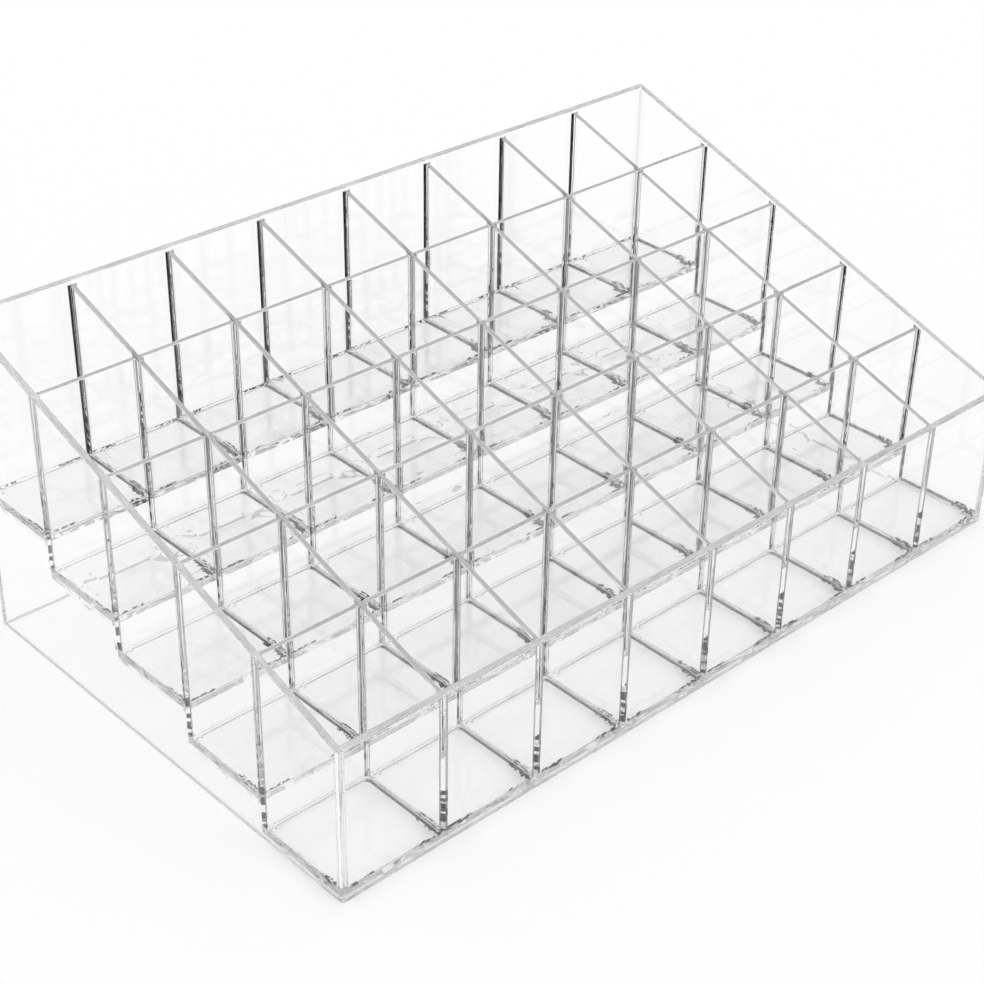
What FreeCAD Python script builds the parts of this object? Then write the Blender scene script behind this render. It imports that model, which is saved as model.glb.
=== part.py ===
import FreeCAD, Part
import os
import Sketcher

# Clear lipstick organizer: stepped rows of open cells inside four mitred walls.
# X runs along the front, Y runs from front to back, Z is up. The origin is the middle of the base.
# Column dividers and row dividers are half-lapped plates. Each row of cells has its own floor tray,
# and each row divider is also the riser between the floor in front of it and the higher one behind.

SIZES = {
    "cell_columns": 8,
    "cell_rows": 5,
    "cell_width": 25.7,
    "cell_length": 24.5,
    "divider_sheet": 1.3,
    "wall_sheet": 1.7,
    "floor_sheet": 1.2,
    "foot_height": 0.8,
    "floor_rise": 8.85,
    "front_cell_depth": 36.9,
    "rim_step": 0.8,
    "corner_radius": 1.0,
    "rim_radius": 0.45,
    "edge_radius": 0.25,
    "cove_radius": 0.5,
    "corner_cove": 0.35,
    "cove_land": 0.15,
    "pocket_corner": 1.8,
    "fit_gap": 0.05,
}

document = FreeCAD.newDocument("lipstick_organizer")
sheet = document.addObject("Spreadsheet::Sheet", "Sizes")
for line, (alias, size) in enumerate(SIZES.items(), start=1):
    sheet.set("A%d" % line, alias)
    sheet.set("B%d" % line, str(size))
    sheet.setAlias("B%d" % line, alias)
document.recompute()

# Sizes worked out from the sheet, as expressions that every piece shares.
COLUMN_PITCH = "(Sizes.cell_width + Sizes.divider_sheet)"
ROW_PITCH = "(Sizes.cell_length + Sizes.divider_sheet)"
INNER_X = "((Sizes.cell_columns * %s - Sizes.divider_sheet) / 2)" % COLUMN_PITCH
INNER_Y = "((Sizes.cell_rows * %s - Sizes.divider_sheet) / 2)" % ROW_PITCH
OUTER_X = "(%s + Sizes.wall_sheet)" % INNER_X
OUTER_Y = "(%s + Sizes.wall_sheet)" % INNER_Y
FIRST_FLOOR_TOP = "(Sizes.foot_height + Sizes.floor_sheet)"
RIDGE_HEIGHT = "(Sizes.cove_radius + Sizes.cove_land)"
SLOPE = "(Sizes.floor_rise / %s)" % ROW_PITCH
SLOT_WIDTH = "(Sizes.divider_sheet + 2 * Sizes.fit_gap)"
MITRE_SHARE = "(1 - sqrt(1 / 2))"


def floor_top(row):
    """Height of the pocket floor in one row, counted from 1 at the front."""
    return "(%s + %d * Sizes.floor_rise)" % (FIRST_FLOOR_TOP, row - 1)


def ridge_top(row):
    """Height of the ridges left between the pockets of one floor tray."""
    return "(%s + %s)" % (floor_top(row), RIDGE_HEIGHT)


def divider_foot(row):
    """Height at which the dividers of one row stand on the ridges, with the joint's gap."""
    return "(%s + Sizes.fit_gap)" % ridge_top(row)


def divider_line(y):
    """Height of the divider tops at one place from front to back."""
    return "(%s + Sizes.front_cell_depth + (%s + %s) * %s)" % (FIRST_FLOOR_TOP, y, INNER_Y, SLOPE)


def rim_line(y):
    """Height of the rim at one place from front to back."""
    return "(%s + Sizes.rim_step)" % divider_line(y)


def row_front(row):
    """Front face of the cells of one row."""
    return "(%d * %s - %s)" % (row - 1, ROW_PITCH, INNER_Y)


def row_back(row):
    """Back face of the cells of one row, which is the front face of the divider behind them."""
    return "(%s + Sizes.cell_length)" % row_front(row)


def riser_middle(row):
    """Middle of the row divider that stands behind one row."""
    return "(%s + Sizes.divider_sheet / 2)" % row_back(row)


def column_left(column):
    """Left face of the cells of one column, counted from 1 at the left."""
    return "(%d * %s - %s)" % (column - 1, COLUMN_PITCH, INNER_X)


def divider_middle(column):
    """Middle of the column divider to the right of one column."""
    return "(%s + Sizes.cell_width + Sizes.divider_sheet / 2)" % column_left(column)


def lap_height(row):
    """Where the row divider behind one row and the column dividers meet in their half-laps."""
    return "((%s + %s) / 2)" % (divider_foot(row + 1), divider_line(riser_middle(row)))


def worth(expression):
    """The number that an expression on the sheet comes to."""
    return float(sheet.evalExpression(expression))


def new_body(name):
    body = document.addObject("PartDesign::Body", name)
    body.Label = name
    return body


def new_sketch(body, name, plane_role, offset):
    """A sketch on one of the body's own origin planes, moved along the plane's normal."""
    sketch = body.newObject("Sketcher::SketchObject", name)
    plane = next(item for item in body.Origin.OriginFeatures if item.Role == plane_role)
    sketch.AttachmentSupport = [(plane, "")]
    sketch.MapMode = "FlatFace"
    sketch.setExpression("AttachmentOffset.Base.z", offset)
    return sketch


def draw(sketch, corners, arcs=None):
    """Draw one closed outline through corners given as expressions.

    arcs maps a corner's number to (radius, centre x, centre y), for an edge that starts at that
    corner and is the short arc about that centre.
    """
    arcs = arcs or {}
    points = [FreeCAD.Vector(worth(x), worth(y), 0) for x, y in corners]
    count = len(points)
    first = sketch.GeometryCount
    for number in range(count):
        start = points[number]
        end = points[(number + 1) % count]
        if number in arcs:
            radius, centre_x, centre_y = arcs[number]
            centre = FreeCAD.Vector(worth(centre_x), worth(centre_y), 0)
            outward = ((start + end) * 0.5 - centre).normalize()
            middle = centre + outward * worth(radius)
            sketch.addGeometry(Part.Arc(start, middle, end), False)
        else:
            sketch.addGeometry(Part.LineSegment(start, end), False)

    def end_at(geometry, point):
        if sketch.getPoint(geometry, 1).distanceToPoint(point) < sketch.getPoint(geometry, 2).distanceToPoint(point):
            return 1
        return 2

    for number in range(count):
        here = first + number
        before = first + (number - 1) % count
        here_end = end_at(here, points[number])
        before_end = end_at(before, points[number])
        sketch.addConstraint(Sketcher.Constraint("Coincident", before, before_end, here, here_end))
        for kind, expression, size in (("DistanceX", corners[number][0], points[number].x),
                                       ("DistanceY", corners[number][1], points[number].y)):
            constraint = sketch.addConstraint(Sketcher.Constraint(kind, here, here_end, size))
            sketch.setExpression("Constraints[%d]" % constraint, expression)
        if number in arcs:
            constraint = sketch.addConstraint(Sketcher.Constraint("Radius", here, worth(arcs[number][0])))
            sketch.setExpression("Constraints[%d]" % constraint, arcs[number][0])


def add_pad(body, name, sketch, length):
    """Pad a sketch along its normal and check that the body grew."""
    before = body.Shape.Volume if body.Tip and body.Shape.Solids else 0.0
    pad = body.newObject("PartDesign::Pad", name)
    pad.Profile = sketch
    pad.setExpression("Length", length)
    body.Tip = pad
    document.recompute()
    if body.Shape.Volume <= before:
        raise RuntimeError("%s adds nothing" % pad.Label)
    return pad


def add_pocket(body, name, sketch, length, reverse):
    """Cut a sketch into the body and check that the body shrank."""
    before = body.Shape.Volume
    pocket = body.newObject("PartDesign::Pocket", name)
    pocket.Profile = sketch
    pocket.Reversed = reverse
    pocket.setExpression("Length", length)
    body.Tip = pocket
    document.recompute()
    if body.Shape.Volume >= before:
        raise RuntimeError("%s cuts nothing" % pocket.Label)
    return pocket


def repeat_along_x(body, name, feature, sketch, copies):
    """Repeat a feature at every column."""
    pattern = body.newObject("PartDesign::LinearPattern", name)
    pattern.Originals = [feature]
    pattern.Direction = (sketch, ["H_Axis"])
    pattern.setExpression("Occurrences", copies)
    pattern.setExpression("Length", "(%s - 1) * %s" % (copies, COLUMN_PITCH))
    body.Tip = pattern
    document.recompute()
    return pattern


def add_fillet(body, name, radius, wanted):
    """Round the edges of the body's tip for which wanted(edge) is true."""
    tip = body.Tip
    names = ["Edge%d" % (number + 1) for number, edge in enumerate(tip.Shape.Edges) if wanted(edge)]
    if not names:
        raise RuntimeError("%s finds no edge" % name)
    fillet = body.newObject("PartDesign::Fillet", name)
    fillet.Base = (tip, names)
    fillet.setExpression("Radius", radius)
    body.Tip = fillet
    document.recompute()
    return fillet


def near(number, expression):
    return abs(number - worth(expression)) < 1e-4


def add_coves(body, name, face_y, outward, low, high):
    """Corner coves on a plate's face, two in each cell, which flank the column dividers' faces.

    outward is 1 where the face looks to the back and -1 where it looks to the front.
    """
    sketch = new_sketch(body, name + "_outline", "XY_Plane", low)
    reach = "(Sizes.corner_cove + Sizes.cove_land)"
    left = "(%s + Sizes.fit_gap)" % column_left(1)
    right = "(%s + Sizes.cell_width - Sizes.fit_gap)" % column_left(1)
    tip = "(%s + %d * Sizes.corner_cove)" % (face_y, outward)
    for side, inward in ((left, "+"), (right, "-")):
        land = "(%s %s Sizes.cove_land)" % (side, inward)
        foot = "(%s %s %s)" % (side, inward, reach)
        corners = [(side, face_y), (foot, face_y), (land, tip), (side, tip)]
        draw(sketch, corners, {1: ("Sizes.corner_cove", foot, tip)})
    pad = add_pad(body, name, sketch, "%s - %s" % (high, low))
    repeat_along_x(body, name + "_row", pad, sketch, "Sizes.cell_columns")


def slope_cut(body, name):
    """Take the top of a wall down to the sloping rim."""
    sketch = new_sketch(body, name, "YZ_Plane", "-%s - Sizes.wall_sheet" % OUTER_X)
    front = "(-%s - Sizes.wall_sheet)" % OUTER_Y
    back = "(%s + Sizes.wall_sheet)" % OUTER_Y
    above = "(%s + Sizes.wall_sheet)" % rim_line(back)
    draw(sketch, [(front, rim_line(front)), (back, rim_line(back)), (back, above), (front, above)])
    add_pocket(body, name + "_cut", sketch, "2 * %s + 2 * Sizes.wall_sheet" % OUTER_X, True)


def rim_edge(edge, direction):
    """True for the long edges of a wall's rim, which run along one axis."""
    box = edge.BoundBox
    long_enough = (box.YLength if direction == "Y" else box.XLength) > 0.8 * 2 * worth(
        INNER_Y if direction == "Y" else INNER_X)
    middle = edge.CenterOfMass
    return long_enough and near(middle.z, rim_line("%.9f" % middle.y))


def side_wall(name, side):
    """A side wall: mitred at both ends, outer corners rounded, rim sloping up to the back."""
    body = new_body(name)
    outer = "(%d * %s)" % (side, OUTER_X)
    inner = "(%d * %s)" % (side, INNER_X)
    rounding = "(%d * (%s - Sizes.corner_radius * %s))" % (side, OUTER_X, MITRE_SHARE)
    end = "(%s - Sizes.fit_gap)" % OUTER_Y
    inner_end = "(%s - Sizes.fit_gap)" % INNER_Y
    mitre_end = "(%s - Sizes.corner_radius * %s - Sizes.fit_gap)" % (OUTER_Y, MITRE_SHARE)
    straight_end = "(%s - Sizes.corner_radius - Sizes.fit_gap)" % OUTER_Y
    centre_x = "(%d * (%s - Sizes.corner_radius))" % (side, OUTER_X)
    sketch = new_sketch(body, name + "_plan", "XY_Plane", "0")
    corners = [
        (outer, "-" + straight_end),
        (outer, straight_end),
        (rounding, mitre_end),
        (inner, inner_end),
        (inner, "-" + inner_end),
        (rounding, "-" + mitre_end),
    ]
    arcs = {
        1: ("Sizes.corner_radius", centre_x, straight_end),
        5: ("Sizes.corner_radius", centre_x, "-" + straight_end),
    }
    draw(sketch, corners, arcs)
    add_pad(body, name + "_plate", sketch, rim_line(end))
    slope_cut(body, name + "_slope")
    add_fillet(body, name + "_rim", "Sizes.rim_radius", lambda edge: rim_edge(edge, "Y"))
    return body


def end_wall(name, side, floor_row):
    """The front or back wall: mitred, rim on the same slope, coves in the cell corners."""
    body = new_body(name)
    outer = "(%d * %s)" % (side, OUTER_Y)
    inner = "(%d * %s)" % (side, INNER_Y)
    rounding = "(%d * (%s - Sizes.corner_radius * %s))" % (side, OUTER_Y, MITRE_SHARE)
    mitre_end = "(%s - Sizes.corner_radius * %s)" % (OUTER_X, MITRE_SHARE)
    straight_end = "(%s - Sizes.corner_radius)" % OUTER_X
    centre_y = "(%d * (%s - Sizes.corner_radius))" % (side, OUTER_Y)
    sketch = new_sketch(body, name + "_plan", "XY_Plane", "0")
    corners = [
        ("-" + straight_end, outer),
        (straight_end, outer),
        (mitre_end, rounding),
        (INNER_X, inner),
        ("-" + INNER_X, inner),
        ("-" + mitre_end, rounding),
    ]
    arcs = {
        1: ("Sizes.corner_radius", straight_end, centre_y),
        5: ("Sizes.corner_radius", "-" + straight_end, centre_y),
    }
    draw(sketch, corners, arcs)
    add_pad(body, name + "_plate", sketch, "(%s + Sizes.wall_sheet)" % rim_line(outer))
    slope_cut(body, name + "_slope")
    add_fillet(body, name + "_rim", "Sizes.rim_radius", lambda edge: rim_edge(edge, "X"))
    add_coves(body, name + "_coves", inner, -side, divider_foot(floor_row), divider_line(inner))
    return body


def floor_tray(row):
    """The floor of one row: a plate with a filleted pocket for each cell, ridges left between them."""
    name = "floor_row_%d" % row
    body = new_body(name)
    end_x = "(%s - Sizes.fit_gap)" % INNER_X
    front = "(%s + Sizes.fit_gap)" % row_front(row)
    back = "(%s + Sizes.divider_sheet)" % row_back(row)
    if row == SIZES["cell_rows"]:
        back = "(%s - Sizes.fit_gap)" % row_back(row)
    sketch = new_sketch(body, name + "_plan", "XY_Plane", "(%s - Sizes.floor_sheet)" % floor_top(row))
    draw(sketch, [("-" + end_x, front), (end_x, front), (end_x, back), ("-" + end_x, back)])
    add_pad(body, name + "_plate", sketch, "Sizes.floor_sheet + %s" % RIDGE_HEIGHT)

    left = "(%s + Sizes.fit_gap + Sizes.cove_land)" % column_left(1)
    right = "(%s + Sizes.cell_width - Sizes.fit_gap - Sizes.cove_land)" % column_left(1)
    near_side = "(%s + Sizes.fit_gap + Sizes.cove_land)" % row_front(row)
    far_side = "(%s - Sizes.fit_gap - Sizes.cove_land)" % row_back(row)
    radius = "Sizes.pocket_corner"
    left_in = "(%s + %s)" % (left, radius)
    right_in = "(%s - %s)" % (right, radius)
    near_in = "(%s + %s)" % (near_side, radius)
    far_in = "(%s - %s)" % (far_side, radius)
    corners = [
        (left_in, near_side), (right_in, near_side), (right, near_in), (right, far_in),
        (right_in, far_side), (left_in, far_side), (left, far_in), (left, near_in),
    ]
    arcs = {
        1: (radius, right_in, near_in),
        3: (radius, right_in, far_in),
        5: (radius, left_in, far_in),
        7: (radius, left_in, near_in),
    }
    pocket_sketch = new_sketch(body, name + "_pocket_plan", "XY_Plane", ridge_top(row))
    draw(pocket_sketch, corners, arcs)
    pocket = add_pocket(body, name + "_pocket", pocket_sketch, RIDGE_HEIGHT, False)
    repeat_along_x(body, name + "_pockets", pocket, pocket_sketch, "Sizes.cell_columns")

    def pocket_floor_edge(edge):
        box = edge.BoundBox
        return box.ZLength < 1e-4 and near(box.ZMin, floor_top(row))

    add_fillet(body, name + "_coves", "Sizes.cove_radius", pocket_floor_edge)
    return body


def row_divider(row):
    """The plate behind one row: riser and divider in one, slotted from above at every column."""
    name = "row_divider_%d" % row
    body = new_body(name)
    end_x = "(%s - Sizes.fit_gap)" % INNER_X
    foot = divider_foot(row)
    top = divider_line(riser_middle(row))
    front_face = row_back(row)
    back_face = row_front(row + 1)
    sketch = new_sketch(body, name + "_plan", "XY_Plane", foot)
    draw(sketch, [("-" + end_x, front_face), (end_x, front_face), (end_x, back_face), ("-" + end_x, back_face)])
    add_pad(body, name + "_plate", sketch, "%s - %s" % (top, foot))

    def long_top_edge(edge):
        box = edge.BoundBox
        return near(box.ZMin, top) and box.XLength > worth(INNER_X)

    add_fillet(body, name + "_top_edges", "Sizes.edge_radius", long_top_edge)
    cove_top = "(%s - Sizes.edge_radius)" % top
    add_coves(body, name + "_front_coves", front_face, -1, foot, cove_top)
    add_coves(body, name + "_back_coves", back_face, 1, divider_foot(row + 1), cove_top)

    left = "(%s - Sizes.divider_sheet / 2 - Sizes.fit_gap)" % divider_middle(1)
    right = "(%s + Sizes.divider_sheet / 2 + Sizes.fit_gap)" % divider_middle(1)
    low = "(%s - Sizes.fit_gap)" % lap_height(row)
    high = "(%s + Sizes.wall_sheet)" % top
    slot_sketch = new_sketch(body, name + "_slot_outline", "XZ_Plane", "-%s - %s" % (back_face, SLOT_WIDTH))
    draw(slot_sketch, [(left, low), (right, low), (right, high), (left, high)])
    slot = add_pocket(body, name + "_slot", slot_sketch, "3 * %s" % SLOT_WIDTH, True)
    repeat_along_x(body, name + "_slots", slot, slot_sketch, "Sizes.cell_columns - 1")
    return body


def column_divider(column):
    """A plate between two columns: sloping top, stepped foot, slotted from below at every riser."""
    name = "column_divider_%d" % column
    body = new_body(name)
    left_face = "(%s - Sizes.divider_sheet / 2)" % divider_middle(column)
    front_end = "(-%s + Sizes.fit_gap)" % INNER_Y
    back_end = "(%s - Sizes.fit_gap)" % INNER_Y
    corners = [(front_end, divider_foot(1))]
    for row in range(1, SIZES["cell_rows"]):
        slot_front = "(%s - %s / 2)" % (riser_middle(row), SLOT_WIDTH)
        slot_back = "(%s + %s / 2)" % (riser_middle(row), SLOT_WIDTH)
        corners.append((slot_front, divider_foot(row)))
        corners.append((slot_front, lap_height(row)))
        corners.append((slot_back, lap_height(row)))
        corners.append((slot_back, divider_foot(row + 1)))
    corners.append((back_end, divider_foot(SIZES["cell_rows"])))
    corners.append((back_end, divider_line(back_end)))
    corners.append((front_end, divider_line(front_end)))
    sketch = new_sketch(body, name + "_profile", "YZ_Plane", left_face)
    draw(sketch, corners)
    add_pad(body, name + "_plate", sketch, "Sizes.divider_sheet")

    def top_edge(edge):
        box = edge.BoundBox
        return box.YLength > worth(INNER_Y)

    add_fillet(body, name + "_top_edges", "Sizes.edge_radius", top_edge)
    return body


def build():
    """Every piece of the organizer, in the order in which it goes together."""
    rows = SIZES["cell_rows"]
    columns = SIZES["cell_columns"]
    pieces = [
        side_wall("left_side_wall", -1),
        side_wall("right_side_wall", 1),
        end_wall("front_wall", -1, 1),
        end_wall("back_wall", 1, rows),
    ]
    pieces += [floor_tray(row) for row in range(1, rows + 1)]
    pieces += [row_divider(row) for row in range(1, rows)]
    pieces += [column_divider(column) for column in range(1, columns)]
    return pieces


pieces = build()
document.recompute()

for item in document.Objects:
    if "Invalid" in item.State or "Error" in item.State:
        raise RuntimeError("%s did not compute: %s" % (item.Label, item.State))
for piece in pieces:
    if piece.Shape.isNull() or not piece.Shape.isValid() or len(piece.Shape.Solids) != 1:
        raise RuntimeError("%s is not one valid solid" % piece.Label)

os.makedirs("parts", exist_ok=True)
for piece in pieces:
    piece.Shape.exportStep("parts/%s.step" % piece.Label)
    box = piece.Shape.BoundBox
    print("%-20s volume %9.1f  z %6.2f to %6.2f" % (piece.Label, piece.Shape.Volume, box.ZMin, box.ZMax))
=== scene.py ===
"""Finish, lights and camera for a clear plastic lipstick organizer with forty stepped cells."""
import math

import bmesh
import bpy
from mathutils import Matrix, Vector


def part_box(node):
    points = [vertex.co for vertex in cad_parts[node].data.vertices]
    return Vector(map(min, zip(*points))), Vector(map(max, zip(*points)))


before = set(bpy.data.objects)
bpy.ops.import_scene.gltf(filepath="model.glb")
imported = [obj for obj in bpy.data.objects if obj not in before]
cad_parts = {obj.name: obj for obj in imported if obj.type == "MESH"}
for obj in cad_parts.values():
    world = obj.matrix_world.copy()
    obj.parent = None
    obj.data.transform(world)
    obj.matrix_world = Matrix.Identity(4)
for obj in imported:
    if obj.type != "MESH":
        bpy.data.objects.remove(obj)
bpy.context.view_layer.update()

MM = 0.001


def middle(node, axis):
    """Middle of one piece's box along X (0), Y (1) or Z (2)."""
    low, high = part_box(node)
    return (low[axis] + high[axis]) / 2


# Where the pieces lie, read from the frame, in metres
COLUMN_START = middle("column_divider_1", 0)
COLUMN_PITCH = middle("column_divider_2", 0) - COLUMN_START
ROW_START = middle("row_divider_1", 1)
ROW_PITCH = middle("row_divider_2", 1) - ROW_START
TRAY_LOW, TRAY_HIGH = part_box("floor_row_1")
TRAY_TOP = TRAY_HIGH[2]
TRAY_THICKNESS = TRAY_TOP - TRAY_LOW[2]
TRAY_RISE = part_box("floor_row_2")[1][2] - TRAY_TOP
INNER_X = -TRAY_LOW[0]
INNER_Y = -TRAY_LOW[1]
DIVIDER_LOW, DIVIDER_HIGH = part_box("column_divider_1")
DIVIDER_HALF = (DIVIDER_HIGH[0] - DIVIDER_LOW[0]) / 2
TOP_SLOPE = TRAY_RISE / ROW_PITCH
JOINT_GAP = DIVIDER_LOW[2] - TRAY_TOP

# Sizes that the frame doesn't tell. The pockets' coves are shaded a little wider than they are.
CORNER_COVE = 0.35 * MM
POCKET_DEPTH = 0.65 * MM
POCKET_COVE = 0.75 * MM

# Distances from the middle of a divider: just past its face, across its joint, and past its coves
SKIN = DIVIDER_HALF + 0.6 * JOINT_GAP
NEAR = DIVIDER_HALF + 2 * JOINT_GAP
COVE_REACH = DIVIDER_HALF + CORNER_COVE

# Heights over a tray's ridges, from the top of a pocket's cove down to just under the pocket's bottom
COVE_TOP = -0.03 * POCKET_DEPTH
COVE_FOOT = -0.95 * POCKET_DEPTH
BOTTOM_UNDERSIDE = -1.05 * POCKET_DEPTH

# Which way a face looks, as the share of its direction that lies along an axis
STRAIGHT = 0.99
NEARLY_STRAIGHT = 0.9
EDGE_ON = 0.1

# Camera, fitted to the crossings of the dividers in the photograph, with no shift
CAMERA_PLACE = Vector((-0.29565, -0.30634, 0.28995))
CAMERA_AZIMUTH = math.radians(-43.226)
CAMERA_ELEVATION = math.radians(32.114)
CAMERA_ROLL = math.radians(1.002)
CAMERA_LENS = 73.92
SENSOR_WIDTH = 36.0
NEAREST_SEEN = 0.01
FARTHEST_SEEN = 20

# Clear plastic, and its matt sawn edges, with painted shade on the rims and the divider tops
PLASTIC_IOR = 1.53
EDGE_DEPTH = 0.1 * MM
EDGE_ROUGHNESS = 0.25
EDGE_MATT = 0.25
RIM_SHADE = 0.4
DIVIDER_TOP_SHADE = 0.8

# Painted shade in the upright corners, darker along the right and back walls, with painted streaks low
# down; streaks of painted shade also fill the clear joints. A grain says how many streaks there are to a
# metre along X, Y and Z.
PAINTED_CORNER_WIDTH = 0.55 * MM
PAINTED_CORNER_SHADE = 0.85
FAR_WALL_SHADE = 0.2
OUTER_CORNER_RELIEF = 0.7
STREAK_SHADE = 0.5
STREAK_HEIGHT = 14 * MM
STREAK_GRAIN = (900.0, 700.0, 260.0)
STREAK_SHARE = 0.48
SHADE_FILL_GRAIN = (350.0, 300.0, 480.0)
SHADE_FILL_SHARE = 0.52
SHADE_FILL_LEVEL = 0.2

# Painted shade on the coves of the pockets, and ragged patches of painted shade beside them
PAINTED_COVE_SHADE = 0.92
PATCH_SCALE = 1100.0
PATCH_SHARE = 0.5
PATCH_REACH = 8.0 * MM
PATCH_WIDTH = 0.3 * MM
PATCH_HEIGHT = 0.6 * MM

# Waves in the surface beside the trays
WAVE_SCALE = 170.0
WAVE_HEIGHT = 0.8 * MM
WAVE_REACH = 3.0 * MM
WAVE_WIDTH = 6.0 * MM

# Studio: a white table, a white glow low all round, and grey cards above. The glow's top and the
# cards' foot are given by how steeply a direction rises: 0 is level and 1 is straight up.
WHITE = (1.0, 1.0, 1.0, 1.0)
FLOOR_SIZE = 6.0
FLOOR_HEIGHT = -0.1 * MM
GLOW_TOP = 0.03
CARD_FOOT = 0.08
CARD_LEVEL = 0.45
PATH_LENGTH = 128
DIFFUSE_LENGTH = 12


class Wire:
    """A shader socket that takes part in Python expressions."""

    def __init__(self, tree, socket):
        self.tree = tree
        self.socket = socket

    def math(self, operation, *values, clamp=False):
        node = self.tree.nodes.new("ShaderNodeMath")
        node.operation = operation
        node.use_clamp = clamp
        for slot, value in zip(node.inputs, values):
            plug(self.tree, slot, value)
        return Wire(self.tree, node.outputs[0])

    def __add__(self, other):
        return self.math("ADD", self, other)

    def __radd__(self, other):
        return self.math("ADD", other, self)

    def __sub__(self, other):
        return self.math("SUBTRACT", self, other)

    def __rsub__(self, other):
        return self.math("SUBTRACT", other, self)

    def __mul__(self, other):
        return self.math("MULTIPLY", self, other)

    def __rmul__(self, other):
        return self.math("MULTIPLY", other, self)

    def __truediv__(self, other):
        return self.math("DIVIDE", self, other)

    def __lt__(self, other):
        return self.math("LESS_THAN", self, other)

    def __gt__(self, other):
        return self.math("GREATER_THAN", self, other)

    def __abs__(self):
        return self.math("ABSOLUTE", self)

    def __or__(self, other):
        return self.math("MAXIMUM", self, other)

    def __and__(self, other):
        return self.math("MINIMUM", self, other)

    def wrapped(self, low, high):
        """The value brought between low and high by whole steps."""
        return self.math("WRAP", self, high, low)

    def rounded_down(self):
        return self.math("FLOOR", self)

    def sign(self):
        return self.math("SIGN", self)

    def clamped(self):
        return self.math("ADD", self, 0.0, clamp=True)


def plug(tree, slot, value):
    """Link a wire to an input, or set the input's own value."""
    if isinstance(value, Wire):
        tree.links.new(value.socket, slot)
    else:
        slot.default_value = value


class Bench:
    """One shader tree that nodes are added to."""

    def __init__(self, tree):
        self.tree = tree
        tree.nodes.clear()

    def node(self, kind, settings=None, stops=None, **sockets):
        """A node of one type, its settings and ramp stops, and the values or links of its inputs."""
        node = self.tree.nodes.new("ShaderNode" + kind)
        for name, value in (settings or {}).items():
            setattr(node, name, value)
        if stops:
            ramp = node.color_ramp
            while len(ramp.elements) < len(stops):
                ramp.elements.new(1.0)
            for element, (place, level) in zip(ramp.elements, stops):
                element.position = place
                element.color = (level, level, level, 1.0)
        for name, value in sockets.items():
            slot = next(item for item in node.inputs if item.name.replace(" ", "") == name)
            plug(self.tree, slot, value)
        return node

    def wire(self, kind, output=0, settings=None, stops=None, **sockets):
        """The wanted output of a new node."""
        return Wire(self.tree, self.node(kind, settings, stops, **sockets).outputs[output])

    def blend(self, share, first, second):
        """The first shader where share is 0 and the second where it is 1."""
        mix = self.node("MixShader", Fac=share)
        plug(self.tree, mix.inputs[1], first)
        plug(self.tree, mix.inputs[2], second)
        return Wire(self.tree, mix.outputs[0])


class Place:
    """Where a point of a piece lies in the grid of cells, worked out inside a shader tree.

    from_column and from_row are its distances from the middle of the nearest divider of each kind, and
    from_front that from the row divider or wall in front. over_tray is its height over the ridges of
    its own tray, and under_top its depth below the sloped tops of the dividers.
    """

    def __init__(self, bench):
        self.spot = bench.wire("TexCoord", "Object")
        facing = bench.wire("NewGeometry", "True Normal")
        self.x, self.y, self.z = [bench.wire("SeparateXYZ", axis, Vector=self.spot) for axis in "XYZ"]
        self.facing_x, self.facing_y, self.facing_z = [
            bench.wire("SeparateXYZ", axis, Vector=facing) for axis in "XYZ"]
        self.from_column = abs((self.x - COLUMN_START).wrapped(-COLUMN_PITCH / 2, COLUMN_PITCH / 2))
        past_row = (self.y - ROW_START).wrapped(-ROW_PITCH / 2, ROW_PITCH / 2)
        self.from_row = abs(past_row)
        self.from_front = past_row + (past_row < -DIVIDER_HALF - JOINT_GAP) * ROW_PITCH
        row = ((self.y - ROW_START - DIVIDER_HALF + JOINT_GAP) / ROW_PITCH).rounded_down() + 1.0
        self.over_tray = self.z - row * TRAY_RISE - TRAY_TOP
        self.under_top = (self.y - DIVIDER_HIGH[1]) * TOP_SLOPE + DIVIDER_HIGH[2] - self.z


# Joints are 1 where a face meets another piece. Clear cement fills the gap there, and light goes
# straight on.


def cemented(place, side, front, level):
    """The joints of faces that look along X, along Y and up or down."""
    across = (abs(place.facing_x) > STRAIGHT) & side
    along = (abs(place.facing_y) > STRAIGHT) & front
    upright = (abs(place.facing_z) > STRAIGHT) & level
    return across | along | upright


def wall_joints(place):
    """Where the walls meet the trays, the dividers and each other."""
    beside_tray = (place.over_tray > -TRAY_THICKNESS) & (place.over_tray < JOINT_GAP)
    beside_plate = (place.over_tray > JOINT_GAP) & (place.under_top > 0.0)
    side = (place.from_column < NEAR) & (beside_tray | (beside_plate & (place.from_row < COVE_REACH)))
    front = (place.from_row < NEAR) & (beside_tray | (beside_plate & (place.from_column < NEAR)))
    corner = (abs(place.x) > INNER_X - JOINT_GAP) & (abs(place.y) > INNER_Y - JOINT_GAP)
    outwards = place.facing_x * place.x.sign() + place.facing_y * place.y.sign()
    mitre = corner & (abs(outwards) < EDGE_ON) & (abs(place.facing_z) < EDGE_ON)
    return cemented(place, side, front, 0.0) | mitre


def tray_joints(place):
    """Where the trays meet the walls and the dividers."""
    front = (place.from_row > SKIN) & (place.from_row < NEAR)
    ridge = (place.over_tray > -JOINT_GAP) & ((place.from_row & place.from_column) < NEAR)
    return cemented(place, place.from_column < NEAR, front, ridge)


def divider_joints(place):
    """Where the dividers meet the walls, the trays and each other."""
    side = (place.from_column > SKIN) | (place.from_row < COVE_REACH)
    front = (place.from_row > SKIN) | (place.from_column < NEAR) | (place.over_tray < JOINT_GAP)
    return cemented(place, side, front, (place.over_tray < 2 * JOINT_GAP) | (place.from_column < NEAR))


def ragged_patches(bench, place):
    """Small patches with ragged edges, all over, as a mask for painted shade."""
    noise = bench.wire("TexNoise", "Fac", Vector=place.spot, Scale=PATCH_SCALE, Detail=1.0)
    return noise > 1.0 - PATCH_SHARE


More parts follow.
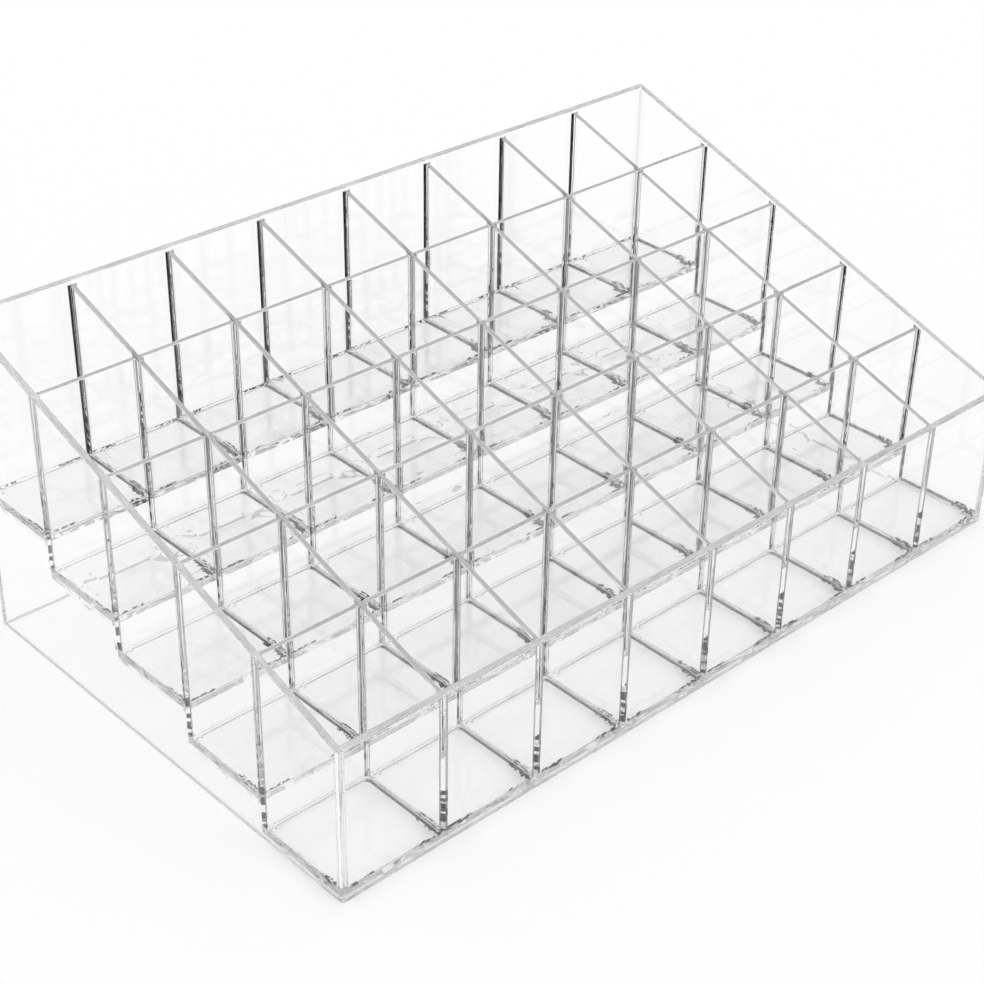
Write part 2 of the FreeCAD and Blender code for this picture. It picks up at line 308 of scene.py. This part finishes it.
def front_corner_patches(bench, place):
    """Ragged patches of painted shade beside the front corners of each cell."""
    near_front = (place.from_front > 0.0) & ((place.from_column | place.from_front) < PATCH_REACH)
    return ragged_patches(bench, place) & near_front


def between_trays_and_tops(place):
    """The space of the cells, with the faces all round it."""
    inside = (abs(place.x) < INNER_X + 2 * JOINT_GAP) & (abs(place.y) < INNER_Y + 2 * JOINT_GAP)
    return inside & (place.over_tray > 0.0) & (place.under_top > 0.0)


def low_streaks(bench, place, grain, share):
    """Broken streaks of painted shade, 1 at the trays and fading out above them."""
    along_grain = place.x * grain[0] + place.y * grain[1] + place.z * grain[2]
    noise = bench.wire("TexNoise", "Fac", {"noise_dimensions": "1D"}, W=along_grain, Scale=1.0, Detail=1.0)
    return (noise > 1.0 - share) * (1.0 - place.over_tray / STREAK_HEIGHT).clamped()


def joint_painted_shade(bench, place):
    """Where painted shade fills the clear cement of the walls' joints: in broken streaks low in the
    upright joints, and in ragged patches along the trays.
    """
    at_corner = (abs(place.x) > INNER_X - COVE_REACH) & (abs(place.y) > INNER_Y - COVE_REACH)
    shade_fill = low_streaks(bench, place, SHADE_FILL_GRAIN, SHADE_FILL_SHARE) > SHADE_FILL_LEVEL
    upright = between_trays_and_tops(place) & shade_fill
    pocket_edge = (place.over_tray > -POCKET_DEPTH) & (place.over_tray < 0.0)
    by_the_side = (abs(place.x) > INNER_X - JOINT_GAP) | (place.from_column < PATCH_REACH)
    ragged = pocket_edge & by_the_side & ragged_patches(bench, place)
    return (upright | ragged) & (1.0 - at_corner)


def corner_painted_shade(bench, place):
    """Painted shade drawn into the upright corners, darker along the right and back walls and lighter at
    the outer corners, in broken dark streaks near the trays.
    """
    between = between_trays_and_tops(place)
    corner = between & ((place.from_column | place.from_row) < DIVIDER_HALF + PAINTED_CORNER_WIDTH)
    at_side = abs(place.x) > INNER_X - 2 * CORNER_COVE
    at_end = abs(place.y) > INNER_Y - 2 * CORNER_COVE
    far_side = place.x > INNER_X - 2 * CORNER_COVE
    far_end = place.y > INNER_Y - 2 * CORNER_COVE
    streaks = low_streaks(bench, place, STREAK_GRAIN, STREAK_SHARE) * STREAK_SHADE
    shade = PAINTED_CORNER_SHADE + abs(far_side - far_end) * FAR_WALL_SHADE + streaks
    relief = 1.0 - (at_side & at_end) * OUTER_CORNER_RELIEF
    patch = between & (place.over_tray < PATCH_HEIGHT) & front_corner_patches(bench, place)
    return (corner * shade * relief | patch).clamped()


def cove_painted_shade(bench, place):
    """Painted shade on the coves along the two sides and the front of each pocket, with its patches."""
    from_edge = (place.from_column & place.from_front) - (DIVIDER_HALF + POCKET_COVE)
    cove = (place.over_tray < COVE_TOP) & (place.over_tray > COVE_FOOT)
    bottom = (place.over_tray < COVE_FOOT) & (place.over_tray > BOTTOM_UNDERSIDE)
    patch = (cove | bottom) & (from_edge < PATCH_WIDTH) & front_corner_patches(bench, place)
    return (cove & (from_edge < 0.0)) * PAINTED_COVE_SHADE | patch


def clear_plastic(name, joints, shade, edge_shade=0.0, shade_in_joints=None):
    """Clear plastic, a little wavy beside the trays, with matt sawn edges where they lie open, and painted
    shade taken out of its clear colour in corners, coves, joints and open edges.
    """
    material = bpy.data.materials.new(name)
    material.use_nodes = True
    bench = Bench(material.node_tree)
    place = Place(bench)
    wave = bench.wire("TexNoise", "Fac", Vector=place.spot, Scale=WAVE_SCALE, Detail=0.0)
    beside_plate = (1.0 - ((place.from_row & place.from_column) - DIVIDER_HALF) / WAVE_WIDTH).clamped()
    near_tray = (1.0 - abs(place.over_tray) / WAVE_REACH).clamped()
    joined = joints(place)
    # grey is painted shade, taken out of the plastic's clear colour
    grey = shade(bench, place)
    matt = 0.0
    # Rims and divider tops get painted shade in their colour as well as matt, rough edges
    if edge_shade:
        top = (place.under_top < EDGE_DEPTH) & (abs(place.facing_z) > NEARLY_STRAIGHT)
        matt = top | (place.z < EDGE_DEPTH)
        grey = grey | matt * edge_shade
    # Where painted shade fills a joint, the clear cement there is painted dark instead of letting light
    # through
    if shade_in_joints:
        dark = joined & shade_in_joints(bench, place)
        joined = joined - dark
        grey = grey | dark
    clear = 1.0 - grey
    surface = bench.wire(
        "BsdfPrincipled",
        BaseColor=bench.wire("CombineColor", Red=clear, Green=clear, Blue=clear),
        Roughness=matt * EDGE_ROUGHNESS,
        IOR=PLASTIC_IOR,
        TransmissionWeight=1.0,
        Normal=bench.wire("Bump", Height=wave * near_tray * beside_plate * WAVE_HEIGHT, Distance=1.0),
    )
    if edge_shade:
        surface = bench.blend(matt * EDGE_MATT, surface, bench.wire("BsdfDiffuse", Color=WHITE))
    surface = bench.blend(joined, surface, bench.wire("BsdfTransparent"))
    bench.node("OutputMaterial", Surface=surface)
    return material


def white_table():
    material = bpy.data.materials.new("white_table")
    material.use_nodes = True
    bench = Bench(material.node_tree)
    bench.node("OutputMaterial", Surface=bench.wire("BsdfDiffuse", Color=WHITE))
    return material


def studio_world():
    """White for the camera and for what lights the pieces; clear plastic sees grey cards above."""
    world = bpy.data.worlds.new("studio")
    bpy.context.scene.world = world
    world.use_nodes = True
    bench = Bench(world.node_tree)
    height = bench.wire("SeparateXYZ", "Z", Vector=bench.wire("TexCoord", "Generated"))
    levels = [(0.0, 1.0), (GLOW_TOP, 1.0), (CARD_FOOT, CARD_LEVEL), (1.0, CARD_LEVEL)]
    glow = bench.wire("Background", Color=WHITE)
    cards = bench.wire("Background", Color=bench.wire("ValToRGB", stops=levels, Fac=height))
    reflected = bench.wire("LightPath", "Is Glossy Ray")
    refracted = bench.wire("LightPath", "Is Transmission Ray")
    seen = ((reflected | refracted) - bench.wire("LightPath", "Diffuse Depth")).clamped()
    bench.node("OutputWorld", Surface=bench.blend(seen, glow, cards))


def add_floor():
    shape = bmesh.new()
    bmesh.ops.create_grid(shape, x_segments=1, y_segments=1, size=FLOOR_SIZE / 2)
    bmesh.ops.translate(shape, verts=shape.verts, vec=(0, 0, FLOOR_HEIGHT))
    mesh = bpy.data.meshes.new("floor")
    shape.to_mesh(mesh)
    shape.free()
    mesh.materials.append(white_table())
    floor = bpy.data.objects.new("floor", mesh)
    bpy.context.scene.collection.objects.link(floor)


def add_camera():
    data = bpy.data.cameras.new("camera")
    data.sensor_width = SENSOR_WIDTH
    data.lens = CAMERA_LENS
    data.clip_start = NEAREST_SEEN
    data.clip_end = FARTHEST_SEEN
    camera = bpy.data.objects.new("camera", data)
    bpy.context.scene.collection.objects.link(camera)
    back = Vector((
        math.sin(CAMERA_AZIMUTH) * math.cos(CAMERA_ELEVATION),
        -math.cos(CAMERA_AZIMUTH) * math.cos(CAMERA_ELEVATION),
        math.sin(CAMERA_ELEVATION),
    ))
    aim = (-back).to_track_quat("-Z", "Y").to_matrix().to_4x4()
    camera.matrix_world = Matrix.Translation(CAMERA_PLACE) @ aim @ Matrix.Rotation(CAMERA_ROLL, 4, "Z")
    bpy.context.scene.camera = camera


def dress_pieces():
    walls = clear_plastic("clear_plastic_walls", wall_joints, corner_painted_shade, RIM_SHADE, joint_painted_shade)
    trays = clear_plastic("clear_plastic_trays", tray_joints, cove_painted_shade)
    dividers = clear_plastic("clear_plastic_dividers", divider_joints, corner_painted_shade, DIVIDER_TOP_SHADE)
    for name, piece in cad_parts.items():
        if name.startswith("floor_row"):
            piece.data.materials[0] = trays
        elif name.endswith("wall"):
            piece.data.materials[0] = walls
        else:
            piece.data.materials[0] = dividers


def set_render():
    """Light has to pass many sheets, so paths are long and indirect light isn't blurred."""
    scene = bpy.context.scene
    scene.view_settings.view_transform = "Standard"
    scene.cycles.max_bounces = PATH_LENGTH
    scene.cycles.transmission_bounces = PATH_LENGTH
    scene.cycles.glossy_bounces = PATH_LENGTH
    scene.cycles.transparent_max_bounces = PATH_LENGTH
    scene.cycles.diffuse_bounces = DIFFUSE_LENGTH
    scene.cycles.blur_glossy = 0.0


set_render()
dress_pieces()
add_floor()
studio_world()
add_camera()
